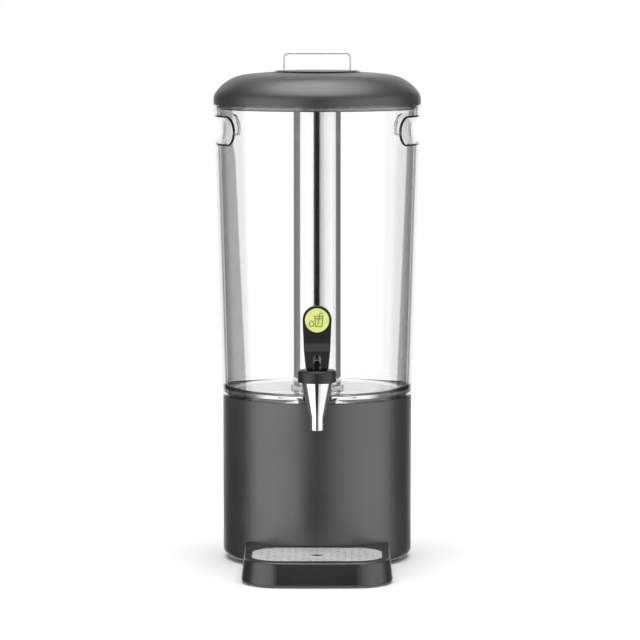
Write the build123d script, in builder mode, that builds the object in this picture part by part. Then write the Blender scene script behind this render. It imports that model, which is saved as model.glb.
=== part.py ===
from build123d import *
from math import cos, hypot, radians, sin
import os

# Cold drinks dispenser: a hollow pedestal, a clear tapered container, a domed lid that carries
# an ice tube, a lever tap and a drip tray. Millimetres. The origin is on the body's axis at
# table level, the tap and the tray face -Y, and +Z is up.

# ---- clearances ----
seat_gap = 0.5        # container spigot in the pedestal, and tray against the pedestal
slide_gap = 0.4       # tray tongues, grill in its recess, ice tube collar in its holder
move_gap = 0.3        # parts that turn or lift past each other
screw_gap = 0.1       # screw shanks in their holes
stem_seal_gap = 0.2   # stem seal in its groove

# ---- pedestal ----
base_r = 107.0
base_top = 187.0
base_wall = 3.0
base_fillet = 9.0
base_rim_w = 7.0      # flat rim that the container stands on
foot_h = 3.0
foot_inset = 11.0     # foot ring's outside edge in from the pedestal's side
foot_w = 12.0
flange_w = 31.0       # bottom flange, in from the pedestal's side
spigot_drop = 8.0
ledge_depth = 10.5    # rim of the pedestal down to the deck plate's ledge
ledge_width = 10.0
ledge_t = 4.0
deck_t = 1.5
plate_t = 2.0
plate_screw_count = 6
small_screw_r = 1.5
small_head_r = 3.4
boss_r = 3.9
boss_h = 8.0

# ---- container ----
vessel_h = 330.3      # pedestal's rim up to the container's rim
taper_out = 9.5       # how much wider the wall is at the bead than at the pedestal
bead_h = 6.3
bead_w = 0.9
wall = 4.0
floor_rise = 7.5      # inside floor above the pedestal's rim
floor_fillet = 6.0
sump_w = 32.0         # shallow sump in the floor, at the tap
sump_l = 34.0
sump_corner_r = 8.0
locator_wall = 2.0
locator_h = 4.0
grip_depth = 7.4
grip_tube_r = 20.7
grip_drop = 29.8      # container's rim down to the middle of the grips
grip_half_angle = 28.5

# ---- tap ----
barrel_l = 38.47      # outer gasket to the tap's axis
shank_rise = 10.5     # shank's axis above the floor
shank_r = 8.0
shank_bore_r = 5.0
shank_end = 4.0       # thread that stands out of the nut
barrel_r = 10.0
flange_t = 3.0
pad_r = 17.0
pad_out = 2.0         # flat pad, out from the container's wall
spot_in = 0.2         # flat spot for the nut's gasket, into the wall
gasket_t = 2.0
inner_gasket_t = 1.5
nut_af = 22.0
nut_t = 7.0
cone_rise = 11.4      # top of the cone above the shank's axis
cone_h = 37.8
cone_top_r = 17.25
cone_low_r = 8.15
neck_r = 15.0
neck_h = 8.0
chamber_wall = 2.5
spout_l = 15.3
spout_r = 7.5
spout_bore_r = 5.0
spout_neck_r = 6.2
spout_neck_l = 4.0
seat_rise = 9.4       # valve seat above the cone's low end
bonnet_r = 21.2
bonnet_h = 13.6
stem_r = 3.0
stem_fit = 0.05       # running fit of the stem in the bonnet and its seal
seal_w = 2.1
seal_h = 2.1
cup_r = 7.0
cup_h = 5.0
cup_base_t = 1.5
cup_clear = 1.3       # seat cup in the valve chamber
collar_r = 7.4
collar_t = 1.5
spring_r = 6.5
wire_r = 0.45
spring_turns = 8
pin_r = 1.5
fulcrum_reach = 9.6   # lever fulcrum in front of the stem
lever_swing = 28.0    # degrees
toe_r = 5.0
eye_flat = 0.15        # depth of the flat on each side of the stem's eye
eye_t = 2 * (stem_r - eye_flat)
eye_half = 5.0
eye_rise = 4.5         # eye's top above the lever's pin
slot_l = 18.8         # lever's slot, up from the bonnet
eye_gap = 0.8          # between the stem's eye and each side of the slot
lever_w = 32.0
lever_waist_w = 29.0  # at the crease
lever_foot_w = 24.5
lever_h = 71.3
crease_h = 22.0       # lever's foot block, up to the blade
blade_t = 7.0
badge_r = 13.2
badge_t = 0.8

# ---- lid and ice tube ----
lid_h = 37.0
lid_edge_h = 4.3
lid_wall = 3.0
liner_t = 3.0
plug_depth = 6.0
plug_wall = 5.7
seal_gap = 3.3        # plug to the container's mouth, which the lid's gasket spans
post_inset = 22.4     # lid's edge in to the liner's screws
post_r = 4.5
post_count = 4
tube_r = 27.2
tube_wall = 1.0
tube_floor_gap = 1.7
tube_locator_gap = 1.0
tube_rise = 8.7       # tube's top above the container's rim
collar_wall = 3.6
collar_h = 13.0
lug_out = 3.2
lug_h = 3.4
lug_drop = 6.0
lug_half_angle = 12.0
lug_count = 3
twist = 40.0
holder_wall = 5.8
holder_air = 5.5      # tube's top to the holder's roof
holder_roof = 2.5
holder_flange_w = 10.0
holder_flange_t = 2.5
handle_w = 77.0
handle_d = 15.5
handle_t = 2.0
handle_rise = 20.7    # handle's top above the lid's crown
handle_corner_r = 6.0
handle_foot = 17.5
handle_screw_r = 2.0
pad_drop = 6.8        # lid's crown down to the pads for the handle's feet

# ---- drip tray and grill ----
tray_half_w = 83.0
tray_rim_front = 14.5
tray_h = 27.5
tray_foot_h = 1.2
tray_draft = 6.0
tray_corner_r = 40.0
tray_floor_t = 3.8
tray_foot_r = 6.0
tray_foot_sink = 0.8
grill_w = 143.0
grill_d = 100.0
grill_corner_r = 33.0
grill_gap = 3.0       # pedestal's front to the grill
grill_t = 1.5
grill_sink = 1.0
grill_ledge = 4.0
grill_hole_r = 2.3
hole_pitch_x = 7.7
hole_pitch_y = 16.0
finger_hole_r = 8.0
tongue_x = 30.0
tongue_w = 14.0
tongue_h = 4.0
tongue_z = 12.5
tongue_reach = 11.0   # back into the pedestal from its front

# ---- worked out from the above ----
rim_z = base_top + vessel_h
floor_z = base_top + floor_rise
spigot_r = base_r - base_rim_w
socket_r = spigot_r + seat_gap
spigot_low_z = base_top - spigot_drop
ledge_z = base_top - ledge_depth
foot_outer_r = base_r - foot_inset
foot_inner_r = foot_outer_r - foot_w
flange_inner_r = base_r - flange_w
plate_r = foot_inner_r - 2
plate_z = foot_h - plate_t
plate_screw_ring = (flange_inner_r + foot_inner_r) / 2 - 0.2
mouth_r = base_r + taper_out
bead_r = mouth_r + bead_w
mouth_inner_r = mouth_r - wall
draft = taper_out / (vessel_h - bead_h)
floor_r = base_r + draft * floor_rise - wall
grip_z = rim_z - grip_drop

shank_z = floor_z + shank_rise
wall_at_tap = base_r + draft * (floor_rise + shank_rise)
pad_face = wall_at_tap + pad_out
spot_face = wall_at_tap - wall + spot_in
tap_reach = pad_face + gasket_t + barrel_l
nut_face = spot_face - inner_gasket_t - nut_t
cone_top_z = shank_z + cone_rise
cone_low_z = cone_top_z - cone_h
neck_top_z = cone_top_z + neck_h
spout_low_z = cone_low_z - spout_l
seat_z = cone_low_z + seat_rise
chamber_r = cup_r + cup_clear
bonnet_top_z = cone_top_z + bonnet_h
lever_top_z = bonnet_top_z + lever_h
tap_plane = Plane(origin=(0, -tap_reach, 0), x_dir=(1, 0, 0), z_dir=(0, -1, 0))
tap_axis = Axis(origin=(0, -tap_reach, 0), direction=(0, 0, 1))
shank_plane = Plane(origin=(0, 0, shank_z), x_dir=(1, 0, 0), z_dir=(0, -1, 0))
fulcrum_y = -tap_reach - fulcrum_reach
fulcrum_z = bonnet_top_z + move_gap + toe_r

tube_low_z = floor_z + tube_floor_gap
tube_top_z = rim_z + tube_rise
locator_inner_r = tube_r + tube_locator_gap
collar_outer_r = tube_r + collar_wall
holder_inner_r = collar_outer_r + slide_gap
holder_r = holder_inner_r + holder_wall
holder_low_z = rim_z - plug_depth
lug_z = tube_top_z - lug_drop
lug_r = collar_outer_r + lug_out
liner_top_z = rim_z + liner_t
plug_r = mouth_inner_r - seal_gap
post_ring = bead_r - post_inset
flange_screw_ring = holder_r + holder_flange_w / 2
handle_top_z = rim_z + lid_h + handle_rise
pad_z = rim_z + lid_h - pad_drop
pad_w = handle_foot - handle_corner_r + handle_t
foot_screw_span = handle_w - 2 * handle_corner_r - pad_w - 2 * move_gap

grill_rear = base_r + grill_gap
grill_mid = grill_rear + grill_d / 2
tray_front = grill_rear + grill_d + tray_rim_front
grill_low_z = tray_h - grill_sink - grill_t

os.makedirs("parts", exist_ok=True)


def radial_plane(angle):
    """The half-plane through the body axis at an angle from +X, with Z upwards."""
    turn = radians(angle)
    return Plane(origin=(0, 0, 0), x_dir=(cos(turn), sin(turn), 0), z_dir=(sin(turn), -cos(turn), 0))


# ================= pedestal =================

with BuildPart() as base_shell:
    with BuildSketch(Plane.XZ) as shell_profile:
        with BuildLine():
            Polyline(
                (flange_inner_r, foot_h),
                (base_r, foot_h),
                (base_r, base_top),
                (socket_r, base_top),
                (socket_r, ledge_z),
                (socket_r - ledge_width, ledge_z),
                (socket_r - ledge_width, ledge_z - ledge_t),
                (base_r - base_wall, ledge_z - ledge_t - (base_r - base_wall - socket_r + ledge_width)),
                (base_r - base_wall, foot_h + base_wall),
                (flange_inner_r, foot_h + base_wall),
                close=True,
            )
        make_face()
        fillet(shell_profile.vertices().sort_by_distance((base_r, foot_h))[0], base_fillet)
        inner_corner = (base_r - base_wall, foot_h + base_wall)
        fillet(shell_profile.vertices().sort_by_distance(inner_corner)[0], base_fillet - base_wall)
        fillet(shell_profile.vertices().sort_by_distance((base_r, base_top))[0], 0.6)
    revolve(axis=Axis.Z)
    # bosses that take the bottom plate's screws
    with BuildSketch(Plane.XY.offset(foot_h)):
        with PolarLocations(plate_screw_ring, plate_screw_count):
            Circle(boss_r)
    extrude(amount=boss_h)
    with BuildSketch(Plane.XY.offset(foot_h)):
        with PolarLocations(plate_screw_ring, plate_screw_count):
            Circle(small_screw_r + screw_gap)
    extrude(amount=boss_h, mode=Mode.SUBTRACT)
    # slots in the front wall for the tray's tongues
    with BuildSketch(Plane.XZ.offset(base_r - tongue_reach)):
        with Locations((-tongue_x, tongue_z + tongue_h / 2), (tongue_x, tongue_z + tongue_h / 2)):
            Rectangle(tongue_w + 2 * slide_gap, tongue_h + 2 * slide_gap)
    extrude(amount=2 * tongue_reach, mode=Mode.SUBTRACT)
base_shell.part.label = "base_shell"
export_step(base_shell.part, "parts/base_shell.step")

with BuildPart() as foot_ring:
    with BuildSketch():
        Circle(foot_outer_r)
        Circle(foot_inner_r, mode=Mode.SUBTRACT)
    extrude(amount=foot_h)
    chamfer(foot_ring.faces().sort_by(Axis.Z)[0].edges(), 0.6)
foot_ring.part.label = "foot_ring"
export_step(foot_ring.part, "parts/foot_ring.step")

with BuildPart() as base_plate:
    with BuildSketch(Plane.XY.offset(plate_z)):
        Circle(plate_r)
        with PolarLocations(plate_screw_ring, plate_screw_count):
            Circle(small_screw_r + screw_gap, mode=Mode.SUBTRACT)
    extrude(amount=plate_t)
base_plate.part.label = "base_plate"
export_step(base_plate.part, "parts/base_plate.step")

with BuildPart(Plane.XY.offset(plate_z - 0.9)) as base_screws:
    with PolarLocations(plate_screw_ring, plate_screw_count):
        Cylinder(small_head_r, 0.9, align=(Align.CENTER, Align.CENTER, Align.MIN))
        Cylinder(small_screw_r, plate_t + boss_h, align=(Align.CENTER, Align.CENTER, Align.MIN))
        Box(small_head_r, 0.7, 0.5, align=(Align.CENTER, Align.CENTER, Align.MIN), mode=Mode.SUBTRACT)
        Box(0.7, small_head_r, 0.5, align=(Align.CENTER, Align.CENTER, Align.MIN), mode=Mode.SUBTRACT)
base_screws.part.label = "base_screws"
export_step(base_screws.part, "parts/base_screws.step")

with BuildPart() as deck_plate:
    with BuildSketch(Plane.XY.offset(ledge_z)):
        Circle(socket_r - move_gap)
    extrude(amount=deck_t)
deck_plate.part.label = "deck_plate"
export_step(deck_plate.part, "parts/deck_plate.step")

# ================= container =================


def grip_form(tube_r_at):
    """The round-ended scoops of the two hand grips, on both sides of the container."""
    sweep_r = mouth_r - grip_depth + grip_tube_r
    ends = [radial_plane(side * grip_half_angle).x_dir * sweep_r + Vector(0, 0, grip_z) for side in (-1, 1)]
    with BuildPart() as form:
        with BuildSketch(radial_plane(-grip_half_angle)):
            with Locations((sweep_r, grip_z)):
                Circle(tube_r_at)
        revolve(axis=Axis.Z, revolution_arc=2 * grip_half_angle)
        with Locations(*ends):
            Sphere(tube_r_at)
        mirror(about=Plane.YZ)
    return form.part


with BuildPart() as cavity:
    with BuildSketch(radial_plane(90)) as cavity_profile:
        with BuildLine():
            Polyline(
                (0, floor_z),
                (floor_r, floor_z),
                (mouth_inner_r, rim_z - bead_h),
                (mouth_inner_r, rim_z),
                (0, rim_z),
                close=True,
            )
        make_face()
        fillet(cavity_profile.vertices().sort_by_distance((floor_r, floor_z))[0], floor_fillet)
    revolve(axis=Axis.Z)
    # the grips stand into the cavity by the wall's thickness
    add(grip_form(grip_tube_r + wall), mode=Mode.SUBTRACT)
    # low ring on the floor that keeps the ice tube's end in place
    with BuildSketch(Plane.XY.offset(floor_z)):
        Circle(locator_inner_r + locator_wall)
        Circle(locator_inner_r, mode=Mode.SUBTRACT)
    extrude(amount=locator_h, mode=Mode.SUBTRACT)
    # shallow sump in the floor, which clears the tap's nut
    with BuildSketch(Plane.XY.offset(floor_z - wall)):
        with Locations((0, -floor_r + sump_l / 2)):
            RectangleRounded(sump_w, sump_l, sump_corner_r)
    extrude(amount=3 * wall)
    # flat face for the nut's gasket
    with BuildSketch(shank_plane.offset(spot_face - 12)):
        Circle(nut_af * 0.62)
    extrude(amount=12)

with BuildPart() as container:
    with BuildSketch(radial_plane(90)):
        with BuildLine():
            Polyline(
                (0, floor_z - wall),
                (spigot_r - base_wall, floor_z - wall),
                (spigot_r - base_wall, spigot_low_z),
                (spigot_r, spigot_low_z),
                (spigot_r, base_top),
                (base_r, base_top),
                (mouth_r, rim_z - bead_h),
                (bead_r, rim_z - bead_h),
                (bead_r, rim_z),
                (0, rim_z),
                close=True,
            )
        make_face()
    revolve(axis=Axis.Z)
    fillet(container.edges().filter_by(GeomType.CIRCLE).group_by(Axis.Z)[-1], 1.2)
    # underside of the sump, inside the spigot ring
    with BuildSketch(Plane.XY.offset(floor_z - 2 * wall)):
        with Locations((0, -spigot_r + base_wall + sump_l / 2)):
            Rectangle(sump_w + 2 * wall, sump_l)
        with BuildSketch(Plane.XY.offset(floor_z - 2 * wall), mode=Mode.INTERSECT):
            Circle(spigot_r - 1)
    extrude(amount=wall)
    # flat pad round the tap's hole, which stops just above the pedestal
    with BuildSketch(shank_plane.offset(pad_face - 6)):
        Circle(pad_r)
        with Locations((0, base_top + 1 - shank_z)):
            Rectangle(4 * pad_r, 2 * pad_r, align=(Align.CENTER, Align.MAX), mode=Mode.SUBTRACT)
    extrude(amount=6)
    add(cavity.part, mode=Mode.SUBTRACT)
    add(grip_form(grip_tube_r), mode=Mode.SUBTRACT)
    with BuildSketch(shank_plane.offset(spot_face - 10)):
        Circle(shank_r + move_gap)
    extrude(amount=30, mode=Mode.SUBTRACT)
container.part.label = "container"
export_step(container.part, "parts/container.step")

# ================= tap =================

with BuildPart() as tap_body:
    with BuildSketch(tap_plane):
        with BuildLine():
            Polyline(
                (0, cone_low_z),
                (cone_low_r, cone_low_z),
                (cone_top_r, cone_top_z),
                (neck_r, cone_top_z),
                (neck_r, neck_top_z),
                (0, neck_top_z),
                close=True,
            )
        make_face()
    revolve(axis=tap_axis)
    # barrel, flange and threaded shank, back through the container's wall
    with BuildSketch(shank_plane.offset(pad_face + gasket_t)):
        Circle(neck_r)
    extrude(amount=flange_t)
    with BuildSketch(shank_plane.offset(pad_face + gasket_t)):
        Circle(barrel_r)
    extrude(amount=barrel_l - cone_low_r)
    with BuildSketch(shank_plane.offset(nut_face - shank_end)):
        Circle(shank_r)
    extrude(amount=pad_face + gasket_t - nut_face + shank_end)
    # valve chamber, flat seat and outlet
    with BuildSketch(tap_plane):
        with BuildLine():
            Polyline(
                (0, cone_low_z),
                (spout_neck_r, cone_low_z),
                (spout_neck_r, cone_low_z + spout_neck_l),
                (spout_bore_r, cone_low_z + spout_neck_l),
                (spout_bore_r, seat_z),
                (chamber_r, seat_z),
                (chamber_r, seat_z + 3),
                (neck_r - chamber_wall, cone_top_z - 4.4),
                (neck_r - chamber_wall, neck_top_z),
                (0, neck_top_z),
                close=True,
            )
        make_face()
    revolve(axis=tap_axis, mode=Mode.SUBTRACT)
    with BuildSketch(shank_plane.offset(nut_face - shank_end)):
        Circle(shank_bore_r)
    extrude(amount=tap_reach - nut_face, mode=Mode.SUBTRACT)
tap_body.part.label = "tap_body"
export_step(tap_body.part, "parts/tap_body.step")

with BuildPart() as spout:
    with BuildSketch(tap_plane) as spout_profile:
        with BuildLine():
            Polyline(
                (spout_bore_r, spout_low_z),
                (spout_r, spout_low_z),
                (spout_r, cone_low_z),
                (spout_neck_r, cone_low_z),
                (spout_neck_r, cone_low_z + spout_neck_l),
                (spout_bore_r, cone_low_z + spout_neck_l),
                close=True,
            )
        make_face()
        fillet(spout_profile.vertices().sort_by_distance((spout_r, spout_low_z))[0], 0.6)
    revolve(axis=tap_axis)
spout.part.label = "spout"
export_step(spout.part, "parts/spout.step")

with BuildPart() as outer_gasket:
    with BuildSketch(shank_plane.offset(pad_face)):
        Circle(neck_r)
        Circle(shank_r + screw_gap, mode=Mode.SUBTRACT)
    extrude(amount=gasket_t)
outer_gasket.part.label = "outer_gasket"
export_step(outer_gasket.part, "parts/outer_gasket.step")

with BuildPart() as inner_gasket:
    with BuildSketch(shank_plane.offset(spot_face - inner_gasket_t)):
        Circle(nut_af / 2 + 1)
        Circle(shank_r + screw_gap, mode=Mode.SUBTRACT)
    extrude(amount=inner_gasket_t)
inner_gasket.part.label = "inner_gasket"
export_step(inner_gasket.part, "parts/inner_gasket.step")

with BuildPart() as shank_nut:
    with BuildSketch(shank_plane.offset(nut_face)):
        RegularPolygon(nut_af / 2, 6, major_radius=False, rotation=30)
        Circle(shank_r + screw_gap, mode=Mode.SUBTRACT)
    extrude(amount=nut_t)
shank_nut.part.label = "shank_nut"
export_step(shank_nut.part, "parts/shank_nut.step")

with BuildPart() as bonnet:
    with BuildSketch(tap_plane) as bonnet_profile:
        with BuildLine():
            Polyline(
                (neck_r, cone_top_z),
                (bonnet_r, cone_top_z),
                (bonnet_r, bonnet_top_z),
                (stem_r + stem_fit, bonnet_top_z),
                (stem_r + stem_fit, neck_top_z + seal_h + 2 * stem_seal_gap),
                (stem_r + seal_w + stem_seal_gap, neck_top_z + seal_h + 2 * stem_seal_gap),
                (stem_r + seal_w + stem_seal_gap, neck_top_z),
                (neck_r, neck_top_z),
                close=True,
            )
        make_face()
        fillet(bonnet_profile.vertices().sort_by_distance((bonnet_r, bonnet_top_z))[0], 3)
        fillet(bonnet_profile.vertices().sort_by_distance((bonnet_r, cone_top_z))[0], 1)
    revolve(axis=tap_axis)
bonnet.part.label = "bonnet"
export_step(bonnet.part, "parts/bonnet.step")

with BuildPart() as stem_seal:
    with BuildSketch(Plane.XY.offset(neck_top_z + stem_seal_gap)):
        with Locations((0, -tap_reach)):
            Circle(stem_r + seal_w)
            Circle(stem_r + stem_fit, mode=Mode.SUBTRACT)
    extrude(amount=seal_h)
stem_seal.part.label = "stem_seal"
export_step(stem_seal.part, "parts/stem_seal.step")

eye_low_z = bonnet_top_z + 2 * move_gap
eye_top_z = fulcrum_z + eye_rise
pin_sweep = fulcrum_reach * (1 - cos(radians(lever_swing)))

with BuildPart() as stem:
    with BuildSketch(tap_plane):
        with BuildLine():
            Polyline(
                (0, seat_z + cup_base_t),
                (stem_r, seat_z + cup_base_t),
                (stem_r, seat_z + cup_h),
                (collar_r, seat_z + cup_h),
                (collar_r, seat_z + cup_h + collar_t),
                (stem_r, seat_z + cup_h + collar_t),
                (stem_r, eye_low_z + 1),
                (0, eye_low_z + 1),
                close=True,
            )
        make_face()
    revolve(axis=tap_axis)
    # flat eye that the lever's pin lifts
    with BuildSketch(Plane.YZ) as eye_profile:
        with Locations((-tap_reach, (eye_low_z + eye_top_z) / 2)):
            Rectangle(2 * eye_half, eye_top_z - eye_low_z)
        fillet(eye_profile.vertices().group_by(Axis.Y)[-1], 3)
    extrude(amount=eye_t / 2, both=True)
    with BuildSketch(Plane.YZ):
        with Locations((-tap_reach - pin_sweep / 2, fulcrum_z)):
            SlotCenterToCenter(pin_sweep, 2 * (pin_r + move_gap + 0.05))
    extrude(amount=eye_t, both=True, mode=Mode.SUBTRACT)
stem.part.label = "stem"
export_step(stem.part, "parts/stem.step")

with BuildPart() as seat_cup:
    with BuildSketch(Plane.XY.offset(seat_z)):
        with Locations((0, -tap_reach)):
            Circle(cup_r)
    extrude(amount=cup_h)
    with BuildSketch(Plane.XY.offset(seat_z + cup_base_t)):
        with Locations((0, -tap_reach)):
            Circle(stem_r)
    extrude(amount=cup_h, mode=Mode.SUBTRACT)
seat_cup.part.label = "seat_cup"
export_step(seat_cup.part, "parts/seat_cup.step")

spring_low_z = seat_z + cup_h + collar_t + wire_r
spring_high_z = neck_top_z - wire_r

with BuildPart() as tap_spring:
    with BuildLine():
        coil = Helix(
            pitch=(spring_high_z - spring_low_z) / spring_turns,
            height=spring_high_z - spring_low_z,
            radius=spring_r,
            center=(0, -tap_reach, spring_low_z),
        )
    with BuildSketch(Plane(origin=coil @ 0, z_dir=coil % 0)):
        Circle(wire_r)
    sweep(is_frenet=True)
tap_spring.part.label = "tap_spring"
export_step(tap_spring.part, "parts/tap_spring.step")

# the lever's outline from the side, which is cut to its outline from the front
block_rear_y = -tap_reach + 7
blade_front_y = -tap_reach - 8
crease_z = bonnet_top_z + crease_h
slot_half = eye_t / 2 + eye_gap

with BuildPart() as lever:
    with BuildSketch(Plane.YZ) as lever_side:
        with BuildLine():
            Polyline(
                (fulcrum_y - toe_r, fulcrum_z - toe_r),
                (block_rear_y, fulcrum_z - toe_r),
                (block_rear_y, crease_z - 6),
                (blade_front_y + blade_t, crease_z + 2),
                (blade_front_y + blade_t, lever_top_z),
                (blade_front_y, lever_top_z),
                (blade_front_y, crease_z + 3),
                (fulcrum_y - toe_r, crease_z - 2.5),
                close=True,
            )
        make_face()
        fillet(lever_side.vertices().sort_by_distance((fulcrum_y - toe_r, fulcrum_z - toe_r))[0], toe_r)
        fillet(lever_side.vertices().sort_by_distance((fulcrum_y - toe_r, crease_z - 2.5))[0], 2)
        fillet(lever_side.vertices().sort_by_distance((blade_front_y, crease_z + 3))[0], 4)
        fillet(lever_side.vertices().sort_by_distance((block_rear_y, fulcrum_z - toe_r))[0], 2)
        fillet(lever_side.vertices().sort_by_distance((blade_front_y + blade_t, crease_z + 2))[0], 6)
    extrude(amount=lever_w / 2, both=True)
    with BuildSketch(Plane.XZ.offset(tap_reach - 20)) as lever_front:
        with BuildLine():
            Polyline(
                (-lever_foot_w / 2, bonnet_top_z),
                (lever_foot_w / 2, bonnet_top_z),
                (lever_waist_w / 2, crease_z),
                (lever_w / 2, lever_top_z - lever_w / 2),
                (lever_w / 2, lever_top_z),
                (-lever_w / 2, lever_top_z),
                (-lever_w / 2, lever_top_z - lever_w / 2),
                (-lever_waist_w / 2, crease_z),
                close=True,
            )
        make_face()
        fillet(lever_front.vertices().group_by(Axis.Y)[-1], lever_w / 2 - 0.01)
        fillet(lever_front.vertices().group_by(Axis.Y)[0], 4)
    extrude(amount=40, mode=Mode.INTERSECT)
    # arched slot for the stem's eye, from front to back
    with BuildSketch(Plane.XZ.offset(tap_reach - 20)):
        with Locations((0, bonnet_top_z + slot_l / 4)):
            SlotCenterToCenter(slot_l, 2 * slot_half, rotation=90)
    extrude(amount=40, mode=Mode.SUBTRACT)
    with BuildSketch(Plane.YZ):
        with Locations((-tap_reach, fulcrum_z)):
            Circle(pin_r)
    extrude(amount=lever_w, both=True, mode=Mode.SUBTRACT)
lever.part.label = "lever"
export_step(lever.part, "parts/lever.step")

with BuildPart() as lever_pin:
    with BuildSketch(Plane.YZ):
        with Locations((-tap_reach, fulcrum_z)):
            Circle(pin_r)
    extrude(amount=lever_foot_w / 2 - 0.6, both=True)
lever_pin.part.label = "lever_pin"
export_step(lever_pin.part, "parts/lever_pin.step")

with BuildPart() as badge:
    with BuildSketch(Plane.XZ.offset(-blade_front_y)):
        with Locations((0, lever_top_z - lever_w / 2)):
            Circle(badge_r)
    extrude(amount=badge_t)
    fillet(badge.faces().sort_by(Axis.Y)[0].edges(), 0.3)
badge.part.label = "badge"
export_step(badge.part, "parts/badge.step")

# ================= lid =================

# outline of the dome above the rim, from the edge to the crown
dome = [
    (bead_r, lid_edge_h),
    (bead_r - 4.5, 0.42 * lid_h),
    (bead_r - 18.2, 0.73 * lid_h),
    (0.6 * bead_r, 0.92 * lid_h),
    (0.375 * bead_r, 0.98 * lid_h),
    (0, lid_h),
]

with BuildPart() as lid_hollow:
    with BuildSketch(radial_plane(90)):
        with BuildLine():
            hollow_r = (bead_r - lid_wall) / bead_r
            hollow_h = (lid_h - lid_wall) / lid_h
            ceiling = [(r * hollow_r, rim_z + h * hollow_h) for r, h in dome]
            Spline(*ceiling, tangents=[(0, 1), (-1, 0)])
            Polyline(ceiling[-1], (0, rim_z), (bead_r - lid_wall, rim_z), ceiling[0])
        make_face()
    revolve(axis=Axis.Z)
    # posts for the liner's screws
    with BuildSketch(Plane.XY.offset(liner_top_z)):
        with PolarLocations(post_ring, post_count, start_angle=45):
            Circle(post_r)
    extrude(amount=lid_h, mode=Mode.SUBTRACT)
    # flat pads under the crown for the handle's feet
    with BuildSketch(Plane.XY.offset(pad_z)):
        with GridLocations(foot_screw_span, 0, 2, 1):
            Rectangle(pad_w, handle_d + 2)
    extrude(amount=lid_h, mode=Mode.SUBTRACT)

with BuildPart() as lid:
    with BuildSketch(radial_plane(90)):
        with BuildLine():
            Line((bead_r, rim_z), (bead_r, rim_z + lid_edge_h))
            Spline(*[(r, rim_z + h) for r, h in dome], tangents=[(0, 1), (-1, 0)])
            Polyline((0, rim_z + lid_h), (0, rim_z), (bead_r, rim_z))
        make_face()
    revolve(axis=Axis.Z)
    add(lid_hollow.part, mode=Mode.SUBTRACT)
    # slots that the handle's legs pass through
    with BuildSketch(Plane.XY.offset(rim_z + lid_h / 2)):
        with GridLocations(handle_w - handle_t, 0, 2, 1):
            Rectangle(handle_t + 0.3, handle_d + 0.3)
    extrude(amount=lid_h, mode=Mode.SUBTRACT)
    with BuildSketch(Plane.XY.offset(pad_z)):
        with GridLocations(foot_screw_span, 0, 2, 1):
            Circle(handle_screw_r + screw_gap)
    extrude(amount=5, mode=Mode.SUBTRACT)
    with BuildSketch(Plane.XY.offset(liner_top_z)):
        with PolarLocations(post_ring, post_count, start_angle=45):
            Circle(small_screw_r + screw_gap)
    extrude(amount=14, mode=Mode.SUBTRACT)
lid.part.label = "lid"
export_step(lid.part, "parts/lid.step")

with BuildPart() as lid_liner:
    with BuildSketch(Plane.XY.offset(rim_z)):
        Circle(bead_r - lid_wall - seat_gap)
        Circle(holder_r + seat_gap, mode=Mode.SUBTRACT)
        with PolarLocations(post_ring, post_count, start_angle=45):
            Circle(small_screw_r + screw_gap, mode=Mode.SUBTRACT)
        with PolarLocations(flange_screw_ring, lug_count, start_angle=90):
            Circle(small_screw_r + screw_gap, mode=Mode.SUBTRACT)
    extrude(amount=liner_t)
    # plug that stands in the container's mouth
    with BuildSketch(Plane.XY.offset(rim_z - plug_depth)):
        Circle(plug_r)
        Circle(plug_r - plug_wall, mode=Mode.SUBTRACT)
    extrude(amount=plug_depth)
lid_liner.part.label = "lid_liner"
export_step(lid_liner.part, "parts/lid_liner.step")

with BuildPart() as lid_gasket:
    with BuildSketch(Plane.XZ) as gasket_profile:
        with BuildLine():
            Polyline(
                (plug_r, rim_z - plug_depth + 1),
                (mouth_inner_r - move_gap, rim_z - plug_depth + 2),
                (mouth_inner_r - move_gap, rim_z - 2),
                (plug_r, rim_z - 1),
                close=True,
            )
        make_face()
    revolve(axis=Axis.Z)
lid_gasket.part.label = "lid_gasket"
export_step(lid_gasket.part, "parts/lid_gasket.step")

with BuildPart() as handle:
    with BuildSketch(Plane.XZ) as strap_profile:
        with Locations((0, handle_top_z)):
            Rectangle(handle_w, handle_top_z - pad_z + handle_t, align=(Align.CENTER, Align.MAX))
        fillet(strap_profile.vertices(), handle_corner_r)
        with Locations((0, handle_top_z - handle_t)):
            inner_w = handle_w - 2 * handle_t
            inner_h = handle_top_z - pad_z - handle_t
            inner_r = handle_corner_r - handle_t
            with BuildSketch(mode=Mode.SUBTRACT) as strap_window:
                with Locations((0, handle_top_z - handle_t - inner_h / 2)):
                    RectangleRounded(inner_w, inner_h, inner_r)
        with Locations((0, pad_z)):
            Rectangle(inner_w - 2 * handle_foot, 3 * handle_t, mode=Mode.SUBTRACT)
    extrude(amount=handle_d / 2, both=True)
    with BuildSketch(Plane.XY.offset(pad_z - handle_t)):
        with GridLocations(foot_screw_span, 0, 2, 1):
            Circle(handle_screw_r + screw_gap)
    extrude(amount=handle_t, mode=Mode.SUBTRACT)
handle.part.label = "handle"
export_step(handle.part, "parts/handle.step")

with BuildPart(Plane.XY.offset(pad_z - handle_t - 2.5)) as handle_screws:
    with GridLocations(foot_screw_span, 0, 2, 1):
        Cylinder(3.8, 2.5, align=(Align.CENTER, Align.CENTER, Align.MIN))
        Cylinder(handle_screw_r, 2.5 + handle_t + 4.6, align=(Align.CENTER, Align.CENTER, Align.MIN))
        Box(4, 0.9, 1.2, align=(Align.CENTER, Align.CENTER, Align.MIN), mode=Mode.SUBTRACT)
        Box(0.9, 4, 1.2, align=(Align.CENTER, Align.CENTER, Align.MIN), mode=Mode.SUBTRACT)
handle_screws.part.label = "handle_screws"
export_step(handle_screws.part, "parts/handle_screws.step")

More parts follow.
